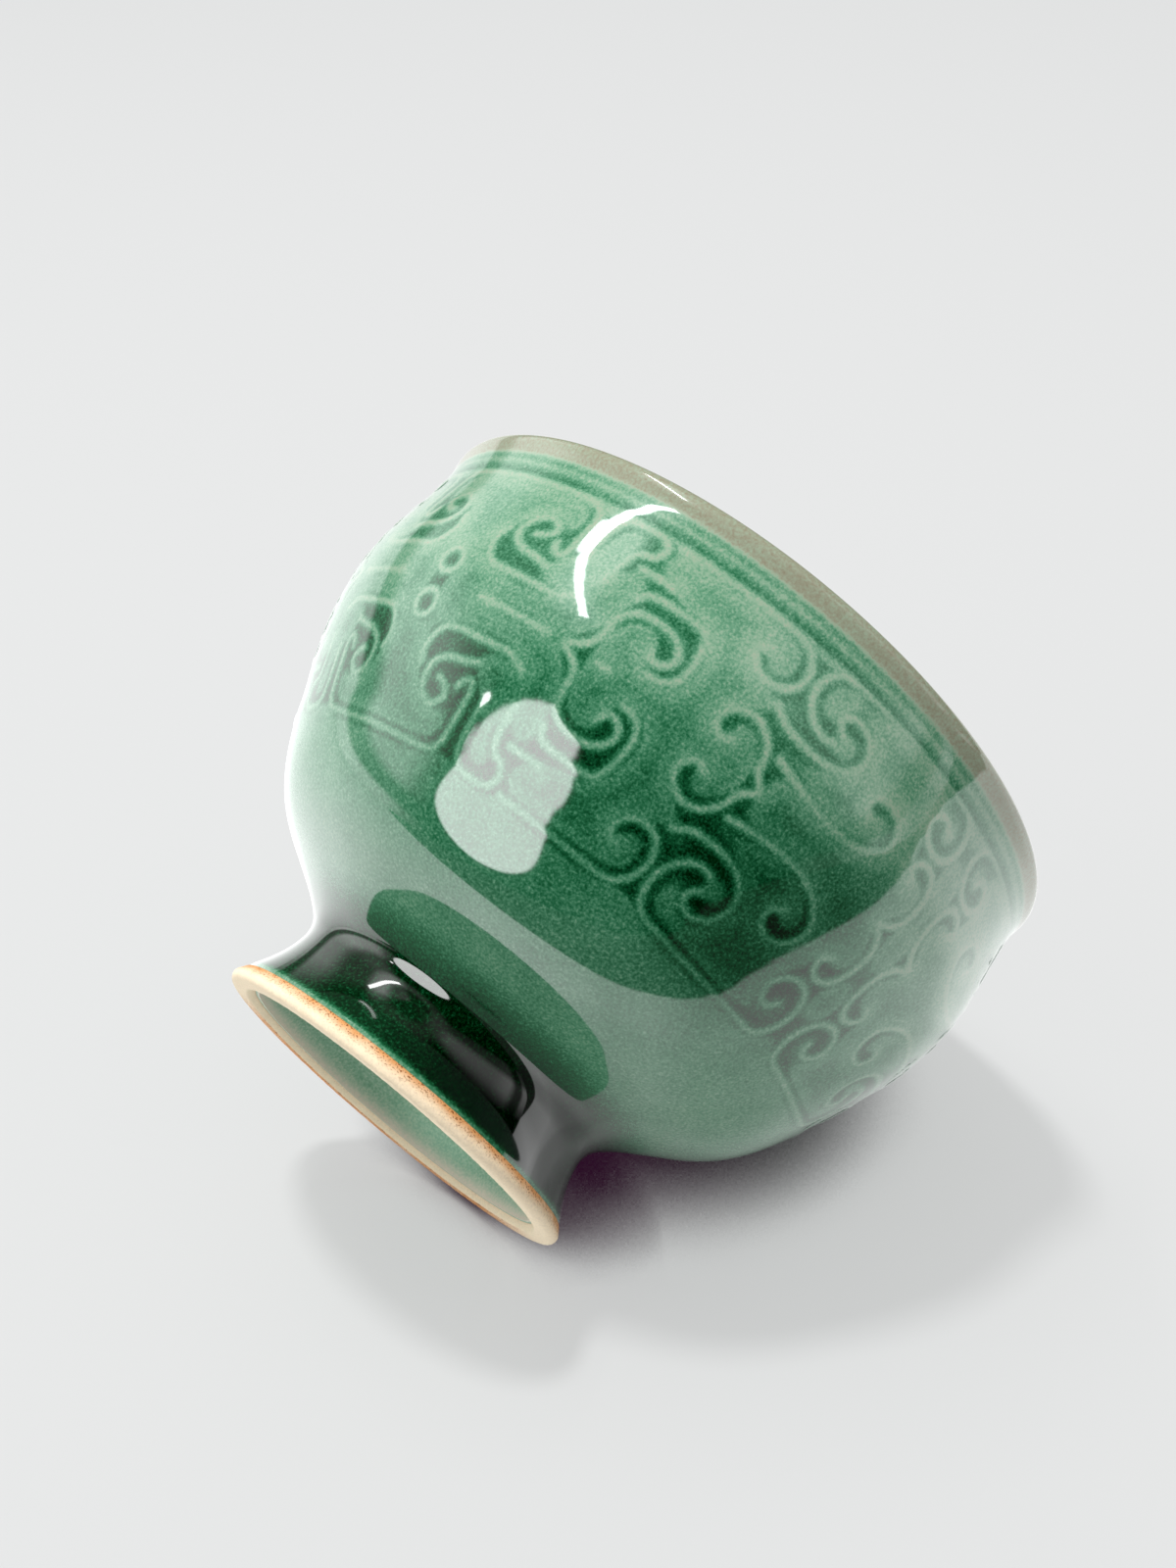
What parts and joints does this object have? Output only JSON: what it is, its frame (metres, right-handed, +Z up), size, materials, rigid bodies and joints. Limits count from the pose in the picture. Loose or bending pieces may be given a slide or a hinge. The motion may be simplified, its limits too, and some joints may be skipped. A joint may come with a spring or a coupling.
{
  "type": "celadon tea cup",
  "caption": "Footed tea cup with a round belly, a slightly turned-out lip, a bare foot ring and raised scroll panels under jade green glaze.",
  "frame": {"origin": "centre of the foot's land, on the table", "axes": "+Z up along the axis of the cup, -Y towards the front of the scroll panel at the picture's side"},
  "size_m": [0.0794, 0.0796, 0.058],
  "materials": {
    "stoneware_clay": "bare fired clay, fine grained, flashed orange at the edges",
    "clay_slip": "bare fired slip",
    "celadon_glaze": "glossy jade green glaze",
    "lip_glaze": "thin glossy beige glaze",
    "relief_glaze": "glossy pale green glaze over raised lines"
  },
  "bodies": {
    "root": {"foot_ring": "stoneware_clay", "luting_slip": "clay_slip", "bowl_body": "stoneware_clay", "outer_glaze": "celadon_glaze", "lip_glaze": "lip_glaze", "inner_glaze": "celadon_glaze", "well_glaze": "celadon_glaze", "border_line": "relief_glaze", "scroll_panel_front": "relief_glaze", "scroll_panel_left": "relief_glaze", "scroll_panel_back": "relief_glaze", "scroll_panel_right": "relief_glaze"}
  },
  "joints": []
}
